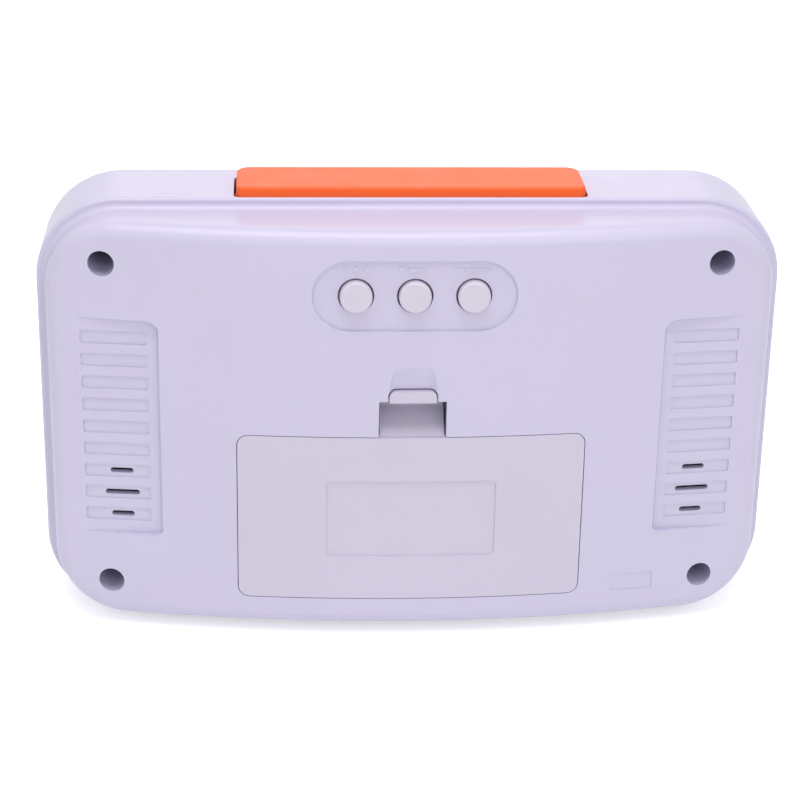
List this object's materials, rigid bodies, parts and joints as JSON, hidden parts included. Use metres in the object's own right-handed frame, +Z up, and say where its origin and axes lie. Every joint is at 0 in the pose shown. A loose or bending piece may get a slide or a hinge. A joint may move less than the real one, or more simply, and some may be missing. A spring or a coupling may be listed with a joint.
{
  "type": "talking table clock",
  "caption": "Low rectangular talking clock with rounded corners, a bulged back, a wide push bar on top, round keys and a battery door in the back, and a display in the front.",
  "frame": {"origin": "under the middle of the case width, half way through the case depth, at the resting face", "axes": "+X to the right seen from the display side, +Y from the display to the bulged back, +Z up"},
  "size_m": [0.136, 0.0368, 0.0834],
  "materials": {
    "shell_gloss": "gloss",
    "door_matt": "satin",
    "key_matt": "satin",
    "bar_orange": "satin",
    "clear_lens": "clear gloss",
    "display_glass": "satin",
    "guide_clear": "frosted",
    "strip_rubber": "matt",
    "inner_white": "matt",
    "lamp_resin": "gloss",
    "board_green": "satin",
    "resin_black": "satin",
    "plated_can": "satin",
    "sleeve_dark": "gloss",
    "plated_steel": "satin",
    "spring_steel": "satin",
    "switch_case": "satin",
    "cell_wrap": "gloss",
    "speaker_steel": "satin",
    "magnet_dark": "matt",
    "cone_paper": "matt",
    "ribbon_grey": "satin",
    "lead_red": "satin",
    "lead_black": "satin"
  },
  "bodies": {
    "case": {"front_shell": "shell_gloss", "rear_shell": "shell_gloss", "display_lens": "clear_lens", "display_glass": "display_glass", "light_guide": "guide_clear", "contact_strip": "strip_rubber", "display_holder": "inner_white", "backlight_lamp": "lamp_resin", "main_board": "board_green", "clock_chip": "resin_black", "quartz_crystal": "plated_can", "capacitors": "sleeve_dark", "resistors": "resin_black", "board_screws": "plated_steel", "talk_switch": "resin_black", "bar_spring_left": "spring_steel", "bar_spring_right": "spring_steel", "housing_screws": "plated_steel", "key_board": "board_green", "key_switches": "switch_case", "key_board_screws": "plated_steel", "upper_cell": "cell_wrap", "lower_cell": "cell_wrap", "upper_cell_spring": "spring_steel", "lower_cell_spring": "spring_steel", "bridge_contact": "plated_steel", "positive_contact": "plated_steel", "negative_contact": "plated_steel", "speaker_basket": "speaker_steel", "speaker_magnet": "magnet_dark", "speaker_cone": "cone_paper", "speaker_dust_cap": "cone_paper", "speaker_screws": "plated_steel", "ribbon_cable": "ribbon_grey", "red_lead": "lead_red", "black_lead": "lead_black", "speaker_leads": "lead_black"},
    "talk_bar": {"talk_bar": "bar_orange", "talk_plunger": "inner_white"},
    "mode_key": {"mode_key": "key_matt", "mode_plunger": "resin_black"},
    "hour_key": {"hour_key": "key_matt", "hour_plunger": "resin_black"},
    "minute_key": {"minute_key": "key_matt", "minute_plunger": "resin_black"},
    "battery_door": {"battery_door": "door_matt"}
  },
  "joints": [
    {"name": "talk_press", "type": "slide", "parent": "case", "child": "talk_bar", "axis": [0, 0, -1], "range_m": [0, 0.0012], "stiffness_N_per_m": 600, "springref_m": -0.001, "deforming": ["bar_spring_left", "bar_spring_right"]},
    {"name": "mode_press", "type": "slide", "parent": "case", "child": "mode_key", "axis": [0, -1, 0], "range_m": [0, 0.0006], "stiffness_N_per_m": 2500, "springref_m": -0.0002},
    {"name": "hour_press", "type": "slide", "parent": "case", "child": "hour_key", "axis": [0, -1, 0], "range_m": [0, 0.0006], "stiffness_N_per_m": 2500, "springref_m": -0.0002},
    {"name": "minute_press", "type": "slide", "parent": "case", "child": "minute_key", "axis": [0, -1, 0], "range_m": [0, 0.0006], "stiffness_N_per_m": 2500, "springref_m": -0.0002},
    {"name": "door_swing", "type": "hinge", "parent": "case", "child": "battery_door", "pos_m": [0, 0.018, 0.00792], "axis": [-1, 0, 0], "range_deg": [0, 35]}
  ]
}
